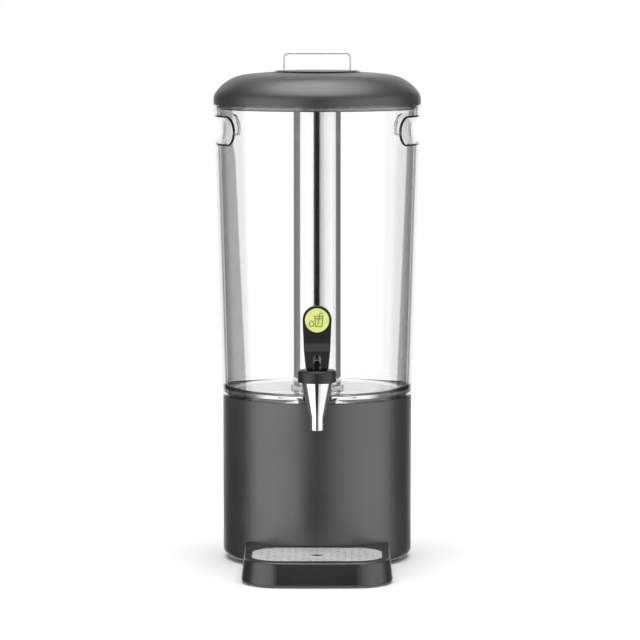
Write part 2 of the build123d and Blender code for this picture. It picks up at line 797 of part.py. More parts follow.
with BuildPart(Plane.XY.offset(rim_z - 2)) as liner_screws:
    with PolarLocations(post_ring, post_count, start_angle=45):
        Cylinder(small_head_r, 2, align=(Align.CENTER, Align.CENTER, Align.MIN))
        Cylinder(small_screw_r, 2 + liner_t + 10, align=(Align.CENTER, Align.CENTER, Align.MIN))
        Box(small_head_r, 0.8, 1, align=(Align.CENTER, Align.CENTER, Align.MIN), mode=Mode.SUBTRACT)
        Box(0.8, small_head_r, 1, align=(Align.CENTER, Align.CENTER, Align.MIN), mode=Mode.SUBTRACT)
liner_screws.part.label = "liner_screws"
export_step(liner_screws.part, "parts/liner_screws.step")

# ================= ice tube =================

with BuildPart() as tube_holder:
    with BuildSketch(Plane.XY.offset(holder_low_z)):
        Circle(holder_r)
    extrude(amount=tube_top_z + holder_air + holder_roof - holder_low_z)
    with BuildSketch(Plane.XY.offset(liner_top_z)):
        Circle(holder_r + holder_flange_w)
    extrude(amount=holder_flange_t)
    with BuildSketch(Plane.XY.offset(liner_top_z)):
        with PolarLocations(flange_screw_ring, lug_count, start_angle=90):
            Circle(small_screw_r + screw_gap)
    extrude(amount=holder_flange_t, mode=Mode.SUBTRACT)
    with BuildSketch(Plane.XY.offset(holder_low_z)):
        Circle(holder_inner_r)
    extrude(amount=tube_top_z + holder_air - holder_low_z, mode=Mode.SUBTRACT)
    # bayonet: an entry slot for each lug, and a track that it turns along
    for lug in range(lug_count):
        lug_angle = lug * 360 / lug_count + 90
        with BuildSketch(radial_plane(lug_angle - lug_half_angle - 1)):
            with Locations((holder_inner_r - 1, lug_z - move_gap)):
                track_h = lug_h + 2 * move_gap
                Rectangle(lug_out + 1, track_h, align=(Align.MIN, Align.MIN))
        revolve(axis=Axis.Z, revolution_arc=twist + 2 * lug_half_angle + 4, mode=Mode.SUBTRACT)
        with BuildSketch(radial_plane(lug_angle + twist - lug_half_angle - 3)):
            with Locations((holder_inner_r - 1, holder_low_z)):
                entry_h = lug_z + lug_h + move_gap - holder_low_z
                Rectangle(lug_out + 1, entry_h, align=(Align.MIN, Align.MIN))
        revolve(axis=Axis.Z, revolution_arc=2 * lug_half_angle + 6, mode=Mode.SUBTRACT)
tube_holder.part.label = "tube_holder"
export_step(tube_holder.part, "parts/tube_holder.step")

with BuildPart(Plane.XY.offset(liner_top_z + holder_flange_t)) as holder_screws:
    with PolarLocations(flange_screw_ring, lug_count, start_angle=90):
        Cylinder(small_head_r, 2, align=(Align.CENTER, Align.CENTER, Align.MIN))
        shank_l = holder_flange_t + liner_t - 0.2
        Cylinder(small_screw_r, shank_l, align=(Align.CENTER, Align.CENTER, Align.MAX))
holder_screws.part.label = "holder_screws"
export_step(holder_screws.part, "parts/holder_screws.step")

with BuildPart() as ice_tube:
    with BuildSketch(Plane.XY.offset(tube_low_z)):
        Circle(tube_r)
    extrude(amount=tube_top_z - tube_low_z)
    fillet(ice_tube.faces().sort_by(Axis.Z)[0].edges(), 4)
    offset(amount=-tube_wall, openings=ice_tube.faces().sort_by(Axis.Z)[-1])
ice_tube.part.label = "ice_tube"
export_step(ice_tube.part, "parts/ice_tube.step")

with BuildPart() as tube_collar:
    with BuildSketch(Plane.XY.offset(tube_top_z - collar_h)):
        Circle(collar_outer_r)
    extrude(amount=collar_h)
    for lug in range(lug_count):
        lug_angle = lug * 360 / lug_count + 90
        with BuildSketch(radial_plane(lug_angle - lug_half_angle)):
            with Locations((tube_r, lug_z)):
                Rectangle(lug_r - slide_gap - tube_r, lug_h, align=(Align.MIN, Align.MIN))
        revolve(axis=Axis.Z, revolution_arc=2 * lug_half_angle)
    with BuildSketch(Plane.XY.offset(tube_top_z - collar_h)):
        Circle(tube_r)
    extrude(amount=collar_h, mode=Mode.SUBTRACT)
tube_collar.part.label = "tube_collar"
export_step(tube_collar.part, "parts/tube_collar.step")

# ================= drip tray =================

tray_feet_at = [(x, y) for x in (-54, 54) for y in (-grill_rear, -tray_front + 28)]

with BuildPart() as drip_tray:
    with BuildSketch(Plane.XY.offset(tray_foot_h)) as tray_outline:
        with Locations((0, -tray_front)):
            Rectangle(2 * tray_half_w, tray_front - 40, align=(Align.CENTER, Align.MIN))
        fillet(tray_outline.vertices().group_by(Axis.Y)[0], tray_corner_r)
    extrude(amount=tray_h - tray_foot_h, taper=tray_draft)
    fillet(drip_tray.faces().sort_by(Axis.Z)[-1].edges(), 2.5)
    fillet(drip_tray.faces().sort_by(Axis.Z)[0].edges(), 3)
    # hollow back that fits round the pedestal
    with BuildSketch():
        Circle(base_r + seat_gap)
    extrude(amount=2 * tray_h, mode=Mode.SUBTRACT)
    # recess for the grill, and the sump under it
    with BuildSketch(Plane.XY.offset(grill_low_z)):
        with Locations((0, -grill_mid)):
            RectangleRounded(grill_w + 2 * slide_gap, grill_d + 2 * slide_gap, grill_corner_r + slide_gap)
    extrude(amount=tray_h, mode=Mode.SUBTRACT)
    with BuildSketch(Plane.XY.offset(tray_foot_h + tray_floor_t)):
        with Locations((0, -grill_mid)):
            sump_w = grill_w - 2 * grill_ledge
            sump_d = grill_d - 2 * grill_ledge
            RectangleRounded(sump_w, sump_d, grill_corner_r - grill_ledge)
    extrude(amount=tray_h, mode=Mode.SUBTRACT)
    # tongues that reach into the pedestal
    with BuildSketch(Plane.XZ.offset(base_r - tongue_reach)):
        with Locations((-tongue_x, tongue_z + tongue_h / 2), (tongue_x, tongue_z + tongue_h / 2)):
            Rectangle(tongue_w, tongue_h)
    extrude(amount=grill_gap + grill_ledge / 2 + tongue_reach)
    # shallow pockets for the rubber feet
    with BuildSketch(Plane.XY.offset(tray_foot_h)):
        with Locations(*tray_feet_at):
            Circle(tray_foot_r)
    extrude(amount=tray_foot_sink, mode=Mode.SUBTRACT)
drip_tray.part.label = "drip_tray"
export_step(drip_tray.part, "parts/drip_tray.step")

with BuildPart() as tray_feet:
    with BuildSketch():
        with Locations(*tray_feet_at):
            Circle(tray_foot_r)
    extrude(amount=tray_foot_h + tray_foot_sink)
tray_feet.part.label = "tray_feet"
export_step(tray_feet.part, "parts/tray_feet.step")

# staggered holes of the grill, kept clear of its edge and of the finger hole
grill_holes = []
for column in range(-8, 9):
    for row in range(-5, 6):
        if (column + row) % 2:
            continue
        x = column * hole_pitch_x
        y = row * hole_pitch_y / 2
        corner_x = max(abs(x) - grill_w / 2 + grill_corner_r, 0)
        corner_y = max(abs(y) - grill_d / 2 + grill_corner_r, 0)
        inside_edge = hypot(corner_x, corner_y) < grill_corner_r - 3 * grill_hole_r
        if inside_edge and hypot(x, y) > finger_hole_r + 2 * grill_hole_r:
            grill_holes.append((x, y - grill_mid))

with BuildPart() as grill:
    with BuildSketch(Plane.XY.offset(grill_low_z)):
        with Locations((0, -grill_mid)):
            RectangleRounded(grill_w, grill_d, grill_corner_r)
            Circle(finger_hole_r, mode=Mode.SUBTRACT)
        with Locations(*grill_holes):
            Circle(grill_hole_r, mode=Mode.SUBTRACT)
    extrude(amount=grill_t)
grill.part.label = "grill"
export_step(grill.part, "parts/grill.step")
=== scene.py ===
from math import acos, cos, hypot, pi, radians, sin, tan

import bmesh
import bpy
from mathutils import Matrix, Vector


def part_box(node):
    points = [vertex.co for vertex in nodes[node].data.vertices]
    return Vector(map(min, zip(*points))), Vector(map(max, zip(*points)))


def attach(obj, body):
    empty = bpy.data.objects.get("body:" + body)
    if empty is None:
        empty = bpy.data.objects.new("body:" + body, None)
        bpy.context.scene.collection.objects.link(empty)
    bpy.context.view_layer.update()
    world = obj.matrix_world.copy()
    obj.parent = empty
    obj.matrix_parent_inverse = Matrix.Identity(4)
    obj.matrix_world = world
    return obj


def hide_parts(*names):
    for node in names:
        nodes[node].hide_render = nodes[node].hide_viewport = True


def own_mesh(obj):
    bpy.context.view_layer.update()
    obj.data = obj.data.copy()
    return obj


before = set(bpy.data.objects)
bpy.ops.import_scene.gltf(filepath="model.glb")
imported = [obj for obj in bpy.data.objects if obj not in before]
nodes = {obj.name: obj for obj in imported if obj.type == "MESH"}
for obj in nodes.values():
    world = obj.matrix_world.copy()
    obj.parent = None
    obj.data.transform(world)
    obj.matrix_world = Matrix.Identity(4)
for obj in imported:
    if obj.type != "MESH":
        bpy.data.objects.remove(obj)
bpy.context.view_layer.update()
scene = bpy.context.scene
scene.view_settings.view_transform = "Standard"

# Sizes are in millimetres unless a line says otherwise. The middle is at 0, 0 and the front faces -Y.
MM = 0.001
BASE_TOP = 187.0  # the pedestal's top, where the container stands
BASE_RADIUS = 107.0
WALL_TAPER = 9.5 / 324.0  # how far the container's wall leans out for each unit of height
TAP_Y = -150.0  # the tap's upright axis
SEAM = 0.000002  # corners closer than this, in metres, are one corner

# ---------------------------------------------------------------- node trees


def put(tree, kind, inputs=None, **settings):
    """Adds a node. Each input is a plain value or the output that feeds it."""
    made = tree.nodes.new(kind)
    for name, value in settings.items():
        setattr(made, name, value)
    for name, value in (inputs or {}).items():
        if isinstance(value, bpy.types.NodeSocket):
            tree.links.new(value, made.inputs[name])
        else:
            made.inputs[name].default_value = value
    return made


def maths(tree, operation, first, second=0.0, clamp=False):
    inputs = {0: first, 1: second}
    return put(tree, "ShaderNodeMath", inputs, operation=operation, use_clamp=clamp).outputs[0]


def between(tree, value, low, high, out_low=0.0, out_high=1.0):
    """Maps a value smoothly from one range to another."""
    inputs = {"Value": value, "From Min": low, "From Max": high, "To Min": out_low, "To Max": out_high}
    made = put(tree, "ShaderNodeMapRange", inputs, interpolation_type="SMOOTHSTEP")
    return made.outputs["Result"]


def blended(tree, factor, first, second):
    inputs = {"Factor": factor}
    made = put(tree, "ShaderNodeMix", inputs, data_type="RGBA")
    for socket, value in ((made.inputs[6], first), (made.inputs[7], second)):
        if isinstance(value, bpy.types.NodeSocket):
            tree.links.new(value, socket)
        else:
            socket.default_value = value
    return made.outputs[2]


def new_group(name, inputs, outputs):
    tree = bpy.data.node_groups.new(name, "ShaderNodeTree")
    kinds = {"value": "NodeSocketFloat", "vector": "NodeSocketVector", "colour": "NodeSocketColor"}
    for label, kind, default in inputs:
        socket = tree.interface.new_socket(name=label, in_out="INPUT", socket_type=kinds[kind])
        if default is not None:
            socket.default_value = default
    for label, kind in outputs:
        tree.interface.new_socket(name=label, in_out="OUTPUT", socket_type=kinds[kind])
    return tree, tree.nodes.new("NodeGroupInput").outputs, tree.nodes.new("NodeGroupOutput")


def placed(tree, group, **inputs):
    made = put(tree, "ShaderNodeGroup", node_tree=group)
    for name, value in inputs.items():
        socket = made.inputs[name.replace("_", " ").capitalize()]
        if isinstance(value, bpy.types.NodeSocket):
            tree.links.new(value, socket)
        else:
            socket.default_value = value
    return made.outputs


def make_edge_wear():
    """Where an edge is rubbed: high on convex edges, broken up by noise."""
    tree, given, out = new_group(
        "edge_wear",
        [("Radius", "value", 0.0012), ("Amount", "value", 1.0), ("Break up", "value", 160.0)],
        [("Mask", "value")],
    )
    rounded = put(tree, "ShaderNodeBevel", {"Radius": given["Radius"]}, samples=4)
    true = put(tree, "ShaderNodeNewGeometry")
    inputs = {0: rounded.outputs[0], 1: true.outputs["Normal"]}
    match = put(tree, "ShaderNodeVectorMath", inputs, operation="DOT_PRODUCT").outputs["Value"]
    edge = between(tree, match, 0.995, 0.86)
    place = put(tree, "ShaderNodeTexCoord").outputs["Object"]
    patches = put(tree, "ShaderNodeTexNoise", {"Vector": place, "Scale": given["Break up"], "Detail": 4.0})
    broken = between(tree, patches.outputs[0], 0.38, 0.62)
    mask = maths(tree, "MULTIPLY", maths(tree, "MULTIPLY", edge, broken), given["Amount"], True)
    tree.links.new(mask, out.inputs["Mask"])
    return tree


def make_grain():
    """Moulded texture: a fine height, and slow mottling of the tone."""
    tree, given, out = new_group(
        "moulded_grain",
        [("Scale", "value", 1400.0), ("Mottle scale", "value", 14.0)],
        [("Height", "value"), ("Mottle", "value"), ("Speck", "value")],
    )
    place = put(tree, "ShaderNodeTexCoord").outputs["Object"]
    inputs = {"Vector": place, "Scale": given["Scale"], "Detail": 3.0, "Roughness": 0.65}
    fine = put(tree, "ShaderNodeTexNoise", inputs).outputs[0]
    cells = put(tree, "ShaderNodeTexVoronoi", {"Vector": place, "Scale": given["Scale"]})
    pits = between(tree, cells.outputs["Distance"], 0.1, 0.7)
    height = maths(tree, "ADD", maths(tree, "MULTIPLY", fine, 0.6), maths(tree, "MULTIPLY", pits, 0.4))
    slow = put(tree, "ShaderNodeTexNoise", {"Vector": place, "Scale": given["Mottle scale"], "Detail": 5.0})
    specks = put(tree, "ShaderNodeTexNoise", {"Vector": place, "Scale": 420.0, "Detail": 2.0})
    tree.links.new(height, out.inputs["Height"])
    tree.links.new(between(tree, slow.outputs[0], 0.3, 0.7), out.inputs["Mottle"])
    tree.links.new(between(tree, specks.outputs[0], 0.66, 0.74), out.inputs["Speck"])
    return tree


def make_dust():
    """Fine dust and water marks that settle on faces turned upwards."""
    tree, given, out = new_group(
        "settled_dust", [("Amount", "value", 0.3), ("Scale", "value", 60.0)], [("Mask", "value")]
    )
    normal = put(tree, "ShaderNodeNewGeometry").outputs["Normal"]
    upward = put(tree, "ShaderNodeSeparateXYZ", {0: normal}).outputs["Z"]
    place = put(tree, "ShaderNodeTexCoord").outputs["Object"]
    clouds = put(tree, "ShaderNodeTexNoise", {"Vector": place, "Scale": given["Scale"], "Detail": 6.0})
    lying = between(tree, upward, 0.35, 1.0)
    mask = maths(tree, "MULTIPLY", lying, between(tree, clouds.outputs[0], 0.35, 0.75))
    tree.links.new(maths(tree, "MULTIPLY", mask, given["Amount"], True), out.inputs["Mask"])
    return tree


def make_brushed():
    """Straight brushing: streaks that are short across the lay and long along Z of the vector."""
    tree, given, out = new_group(
        "straight_brushing",
        [("Place", "vector", None), ("Across", "value", 900.0), ("Along", "value", 9.0)],
        [("Height", "value"), ("Tone", "value")],
    )
    scale = put(tree, "ShaderNodeCombineXYZ", {0: given["Across"], 1: given["Across"], 2: given["Along"]})
    inputs = {0: given["Place"], 1: scale.outputs[0]}
    stretched = put(tree, "ShaderNodeVectorMath", inputs, operation="MULTIPLY").outputs[0]
    streaks = put(tree, "ShaderNodeTexNoise", {"Vector": stretched, "Scale": 1.0, "Detail": 4.0}).outputs[0]
    inputs = {"Vector": given["Place"], "Scale": 25.0, "Detail": 3.0}
    slow = put(tree, "ShaderNodeTexNoise", inputs).outputs[0]
    tree.links.new(streaks, out.inputs["Height"])
    mixed = maths(tree, "ADD", maths(tree, "MULTIPLY", streaks, 0.6), maths(tree, "MULTIPLY", slow, 0.4))
    tree.links.new(between(tree, mixed, 0.3, 0.7), out.inputs["Tone"])
    return tree


def make_turned():
    """Fine rings left by turning or polishing round the vector's Z axis."""
    tree, given, out = new_group(
        "turned_rings",
        [("Place", "vector", None), ("Across", "value", 1500.0), ("Around", "value", 3.0)],
        [("Height", "value"), ("Tone", "value")],
    )
    split = put(tree, "ShaderNodeSeparateXYZ", {0: given["Place"]}).outputs
    angle = maths(tree, "ARCTAN2", split["Y"], split["X"])
    squares = maths(tree, "ADD", maths(tree, "POWER", split["X"], 2.0), maths(tree, "POWER", split["Y"], 2.0))
    radius = maths(tree, "SQRT", squares)
    rings = maths(tree, "MULTIPLY", maths(tree, "ADD", radius, split["Z"]), given["Across"])
    turn = maths(tree, "MULTIPLY", maths(tree, "SINE", angle), given["Around"])
    vector = put(tree, "ShaderNodeCombineXYZ", {0: rings, 1: turn, 2: maths(tree, "COSINE", angle)})
    inputs = {"Vector": vector.outputs[0], "Scale": 1.0, "Detail": 3.0}
    lines = put(tree, "ShaderNodeTexNoise", inputs).outputs[0]
    inputs = {"Vector": given["Place"], "Scale": 40.0, "Detail": 4.0}
    slow = put(tree, "ShaderNodeTexNoise", inputs).outputs[0]
    tree.links.new(lines, out.inputs["Height"])
    mixed = maths(tree, "ADD", maths(tree, "MULTIPLY", lines, 0.5), maths(tree, "MULTIPLY", slow, 0.5))
    tree.links.new(between(tree, mixed, 0.3, 0.7), out.inputs["Tone"])
    return tree


edge_wear = make_edge_wear()
grain = make_grain()
dust = make_dust()
brushed = make_brushed()
turned = make_turned()

# ---------------------------------------------------------------- materials


def new_material(name):
    made = bpy.data.materials.new(name)
    made.use_nodes = True
    tree = made.node_tree
    return made, tree, tree.nodes["Principled BSDF"]


def feed(tree, shader, **sockets):
    for name, value in sockets.items():
        socket = shader.inputs[name.replace("_", " ")]
        if isinstance(value, bpy.types.NodeSocket):
            tree.links.new(value, socket)
        else:
            socket.default_value = value


def bumped(tree, height, distance, strength=1.0):
    inputs = {"Height": height, "Distance": distance, "Strength": strength}
    return put(tree, "ShaderNodeBump", inputs).outputs[0]


def grey(level, tint=(1.0, 1.0, 1.0)):
    return (level * tint[0], level * tint[1], level * tint[2], 1.0)


def moulded(name, tone, rough, scale=1400.0, depth=0.00004, wear=0.5, dusty=0.25, shine=0.5, ior=1.5):
    """Moulded black plastic with its grain, rubbed edges and a little settled dust."""
    made, tree, shader = new_material(name)
    texture = placed(tree, grain, scale=scale)
    rubbed = placed(tree, edge_wear, amount=wear)["Mask"]
    settled = placed(tree, dust, amount=dusty)["Mask"]
    body = blended(tree, texture["Mottle"], grey(tone * 0.88), grey(tone * 1.12))
    flecked = blended(tree, maths(tree, "MULTIPLY", texture["Speck"], 0.25), body, grey(tone * 1.9))
    worn = blended(tree, maths(tree, "MULTIPLY", rubbed, 0.35), flecked, grey(tone * 3.2))
    dusted = blended(tree, maths(tree, "MULTIPLY", settled, 0.3), worn, grey(0.3, (1.0, 0.97, 0.93)))
    sheen = between(tree, texture["Mottle"], 0.0, 1.0, rough - 0.03, rough + 0.04)
    polished = maths(tree, "SUBTRACT", sheen, maths(tree, "MULTIPLY", rubbed, 0.12))
    dulled = maths(tree, "ADD", polished, maths(tree, "MULTIPLY", settled, 0.2))
    feed(
        tree, shader, Base_Color=dusted, Roughness=dulled,
        Normal=bumped(tree, texture["Height"], depth), Specular_IOR_Level=shine, IOR=ior,
    )
    return made


def metal(
    name, tone, rough, group, centre=(0, 0, 0), turn=(0, 0, 0),
    depth=0.000004, spread=0.05, pure=1.0, **detail
):
    """Stainless steel with its lay of fine lines, faint marks and rubbed edges."""
    made, tree, shader = new_material(name)
    place = put(tree, "ShaderNodeTexCoord").outputs["Object"]
    inputs = {"Vector": place, "Location": [-x for x in centre]}
    centred = put(tree, "ShaderNodeMapping", inputs).outputs[0]
    aligned = put(tree, "ShaderNodeMapping", {"Vector": centred, "Rotation": turn}).outputs[0]
    lines = placed(tree, group, place=aligned, **detail)
    rubbed = placed(tree, edge_wear, radius=0.0006, amount=0.6, break_up=300.0)["Mask"]
    warm, cool = grey(tone * 0.95, (1.0, 0.99, 0.98)), grey(tone * 1.04, (0.98, 0.99, 1.0))
    body = blended(tree, lines["Tone"], warm, cool)
    bright = blended(tree, maths(tree, "MULTIPLY", rubbed, 0.5), body, grey(min(1.0, tone * 1.2)))
    shine = between(tree, lines["Tone"], 0.0, 1.0, rough, rough + spread)
    feed(
        tree, shader, Base_Color=bright, Metallic=pure,
        Roughness=maths(tree, "ADD", shine, maths(tree, "MULTIPLY", rubbed, 0.06)),
        Normal=bumped(tree, lines["Height"], depth),
    )
    return made


def clear(name, rough, tone, ior=1.49):
    """Clear moulded plastic. The container's outer wall has a band of painted shade where it curves away from
    the eye, standing in for the dark edges that its refraction and reflections give.
    """
    # How far the wall has turned from the eye, 0 to 1, where the painted shade band starts and ends. It
    # starts later on the right side, painted to match the light falling more from the left.
    start_low, start_per_metre, painted_shade_right_shift, soft_start = 0.336, 0.242, 0.12, 0.022
    end_from, end_to = 0.66, 0.69
    inside_wall = 1.5
    made, tree, shader = new_material(name)
    place = put(tree, "ShaderNodeTexCoord").outputs["Object"]
    split = put(tree, "ShaderNodeSeparateXYZ", {"Vector": place}).outputs
    facing = put(tree, "ShaderNodeLayerWeight", {"Blend": 0.5}).outputs["Facing"]
    marks = put(tree, "ShaderNodeTexNoise", {"Vector": place, "Scale": 35.0, "Detail": 6.0}).outputs[0]
    waves = put(tree, "ShaderNodeTexNoise", {"Vector": place, "Scale": 9.0, "Detail": 1.0}).outputs[0]
    across = maths(tree, "MULTIPLY", split["X"], split["X"])
    along = maths(tree, "MULTIPLY", split["Y"], split["Y"])
    radius = maths(tree, "SQRT", maths(tree, "ADD", across, along))
    height = maths(tree, "SUBTRACT", split["Z"], BASE_TOP * MM)
    leaning = maths(tree, "MULTIPLY", height, WALL_TAPER)
    wall_radius = maths(tree, "ADD", leaning, (BASE_RADIUS - inside_wall) * MM)
    outer = maths(tree, "GREATER_THAN", radius, wall_radius)
    # Painted shade: on the right side the band starts later than on the left.
    right = between(tree, split["X"], -0.02, 0.02, 0.0, painted_shade_right_shift)
    raised = maths(tree, "MULTIPLY", height, start_per_metre)
    start = maths(tree, "ADD", raised, maths(tree, "ADD", right, start_low))
    begins = between(tree, maths(tree, "SUBTRACT", facing, start), 0.0, soft_start)
    ends = between(tree, facing, end_from, end_to, 1.0, 0.0)
    # The painted shade band, only on the outer wall.
    painted_edge_shade = maths(tree, "MULTIPLY", maths(tree, "MULTIPLY", begins, ends), outer)
    # The painted shade's colour: darker grey where the wall turns further away.
    deep = blended(tree, between(tree, facing, 0.5, end_from), grey(0.27), grey(0.12))
    feed(
        tree, shader, Base_Color=blended(tree, painted_edge_shade, grey(tone, (0.995, 1.0, 1.0)), deep),
        Roughness=between(tree, marks, 0.45, 0.8, rough, rough + 0.03),
        Transmission_Weight=1.0, IOR=ior, Normal=bumped(tree, waves, 0.00012, 0.4),
    )
    return made


def silicone(name):
    """Milky silicone, slightly see-through."""
    made, tree, shader = new_material(name)
    texture = placed(tree, grain, scale=700.0)
    feed(
        tree, shader, Base_Color=blended(tree, texture["Mottle"], grey(0.74), grey(0.86)),
        Roughness=between(tree, texture["Mottle"], 0.0, 1.0, 0.32, 0.42),
        Normal=bumped(tree, texture["Height"], 0.00002), Transmission_Weight=0.6, IOR=1.41,
    )
    return made


def rubber(name):
    """Matt black rubber, scuffed pale on its edges."""
    made, tree, shader = new_material(name)
    texture = placed(tree, grain, scale=900.0)
    scuffs = placed(tree, edge_wear, amount=0.8)["Mask"]
    body = blended(tree, texture["Mottle"], grey(0.016), grey(0.026))
    feed(
        tree, shader, Base_Color=blended(tree, maths(tree, "MULTIPLY", scuffs, 0.5), body, grey(0.09)),
        Roughness=between(tree, texture["Mottle"], 0.0, 1.0, 0.7, 0.85),
        Normal=bumped(tree, texture["Height"], 0.00008), Specular_IOR_Level=0.35,
    )
    return made


def enamel(name, colour, deep, rough):
    """Printed or moulded gloss colour under a clear coat."""
    made, tree, shader = new_material(name)
    texture = placed(tree, grain, scale=500.0, mottle_scale=60.0)
    feed(
        tree, shader, Base_Color=blended(tree, texture["Mottle"], deep, colour),
        Roughness=between(tree, texture["Mottle"], 0.0, 1.0, rough, rough + 0.06),
        Normal=bumped(tree, texture["Height"], 0.00001), Coat_Weight=0.5, Coat_Roughness=0.08,
    )
    return made


body_plastic = moulded("body_plastic", 0.020, 0.34, shine=1.0, ior=1.56)
lid_plastic = moulded("lid_plastic", 0.028, 0.38, dusty=0.25, shine=0.9)
tray_plastic = moulded("tray_plastic", 0.011, 0.31, wear=0.8, dusty=0.15, shine=0.9)
inner_plastic = moulded("inner_plastic", 0.026, 0.46, dusty=0.0)
tap_plastic = moulded("tap_plastic", 0.012, 0.36, scale=2200.0, depth=0.00001, wear=0.5, dusty=0.1)
dark_rubber = rubber("dark_rubber")
clear_wall = clear("clear_wall", 0.0, 0.99)
soft_silicone = silicone("soft_silicone")
tube_steel = metal("tube_steel", 0.70, 0.03, brushed, depth=0.0000015, across=1300.0, along=6.0)
tap_steel = metal("tap_steel", 0.74, 0.05, turned, centre=(0.0, TAP_Y * MM, 0.0))
handle_steel = metal("handle_steel", 0.94, 0.42, brushed, turn=(0, pi / 2, 0), across=1200.0, along=14.0)
deck_steel = metal("deck_steel", 0.90, 0.04, turned, spread=0.04)
grill_steel = metal(
    "grill_steel", 0.97, 0.42, brushed, turn=(0, pi / 2, 0), spread=0.1, pure=0.7, across=1100.0, along=20.0
)
# Painted shade: near-black steel for the walls inside the grill's holes, where shade falls.
painted_hole_shade = metal("painted_hole_shade", 0.02, 0.6, brushed, across=900.0, along=200.0)
screw_steel = metal("screw_steel", 0.55, 0.26, brushed, across=1500.0, along=300.0)
badge_enamel = enamel("badge_enamel", (0.80, 0.86, 0.29, 1.0), (0.74, 0.81, 0.25, 1.0), 0.25)
badge_mark = enamel("badge_mark", (0.20, 0.24, 0.06, 1.0), (0.16, 0.19, 0.05, 1.0), 0.35)

# The nodes that are shown as they are. The others are replaced further down.
finishes = {
    "base_shell": body_plastic, "foot_ring": dark_rubber, "base_plate": inner_plastic,
    "deck_plate": deck_steel, "container": clear_wall, "tap_body": tap_steel, "spout": tap_steel,
    "outer_gasket": soft_silicone, "inner_gasket": soft_silicone, "shank_nut": screw_steel,
    "bonnet": tap_plastic, "stem_seal": dark_rubber, "stem": tap_plastic,
    "seat_cup": soft_silicone, "lever_pin": screw_steel, "lid": lid_plastic,
    "lid_liner": inner_plastic, "lid_gasket": soft_silicone, "tube_holder": inner_plastic,
    "holder_screws": screw_steel, "ice_tube": tube_steel, "tube_collar": inner_plastic,
    "tray_feet": dark_rubber,
}
for name, finish in finishes.items():
    nodes[name].data.materials.clear()
    nodes[name].data.materials.append(finish)

# ---------------------------------------------------------------- mesh helpers


def rounded(points, radii, steps=6, closed=True):
    """Points of an outline whose corners are arcs of the given radii."""
    line = []
    count = len(points)
    nearly_straight = pi / 2 - 0.01
    for i, (point, radius) in enumerate(zip(points, radii)):
        if radius <= 0 or (not closed and i in (0, count - 1)):
            line.append(tuple(point))
            continue
        here = Vector(point)
        back = (Vector(points[i - 1]) - here).normalized()
        ahead = (Vector(points[(i + 1) % count]) - here).normalized()
        half = acos(max(-1.0, min(1.0, back.dot(ahead)))) / 2
        if half > nearly_straight:
            line.append(tuple(point))
            continue
        centre = here + (back + ahead).normalized() * (radius / sin(half))
        start = here + back * (radius / tan(half)) - centre
        sweep = pi - 2 * half
        side = 1 if back.x * ahead.y - back.y * ahead.x < 0 else -1
        for step in range(steps + 1):
            turn = side * sweep * step / steps
            arm_x = start.x * cos(turn) - start.y * sin(turn)
            arm_y = start.x * sin(turn) + start.y * cos(turn)
            line.append(tuple(centre + Vector((arm_x, arm_y))))
    return line


def mesh_from(name, corners, faces):
    """A mesh in metres from corners in millimetres."""
    mesh = bpy.data.meshes.new(name)
    mesh.from_pydata([tuple(x * MM for x in c) for c in corners], [], faces)
    return mesh


def facing_out(mesh):
    """Closes seams and turns every face outwards."""
    shape = bmesh.new()
    shape.from_mesh(mesh)
    bmesh.ops.remove_doubles(shape, verts=shape.verts, dist=SEAM)
    bmesh.ops.recalc_face_normals(shape, faces=shape.faces)
    shape.to_mesh(mesh)
    shape.free()
    return mesh


def linked(name, mesh):
    made = bpy.data.objects.new(name, mesh)
    scene.collection.objects.link(made)
    return made


def evaluated(piece):
    """The piece with its modifiers applied, as a plain mesh."""
    graph = bpy.context.evaluated_depsgraph_get()
    mesh = bpy.data.meshes.new_from_object(piece.evaluated_get(graph))
    piece.modifiers.clear()
    piece.data = mesh
    return piece


def with_modifier(piece, kind, **settings):
    added = piece.modifiers.new(kind.lower(), kind)
    for name, value in settings.items():
        setattr(added, name, value)
    return evaluated(piece)


def cut_by(piece, tool, operation="DIFFERENCE"):
    """Cuts the tool out of the piece, or keeps only what both share, and removes the tool."""
    with_modifier(piece, "BOOLEAN", object=tool, operation=operation, solver="EXACT")
    bpy.data.objects.remove(tool)
    return piece


def prism(name, outline, low, high, axis):
    """A straight prism of an outline. Axis X takes (y, z) points, and Y takes (x, z)."""
    count = len(outline)
    if axis == "X":
        corners = [(level, a, b) for level in (low, high) for a, b in outline]
    else:
        corners = [(a, level, b) for level in (low, high) for a, b in outline]
    faces = [tuple(range(count)), tuple(range(2 * count - 1, count - 1, -1))]
    faces += [(i, (i + 1) % count, count + (i + 1) % count, count + i) for i in range(count)]
    return linked(name, facing_out(mesh_from(name, corners, faces)))


def finished(piece, body, node, material=None, angle=35):
    """Gives the piece its material and smooth shading, and puts it on its body in place of a node."""
    mesh = piece.data
    if material is not None:
        mesh.materials.clear()
        mesh.materials.append(material)
    mesh.shade_smooth()
    mesh.set_sharp_from_angle(angle=radians(angle))
    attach(piece, body)
    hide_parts(node)
    return piece


# ---------------------------------------------------------------- lid's handle


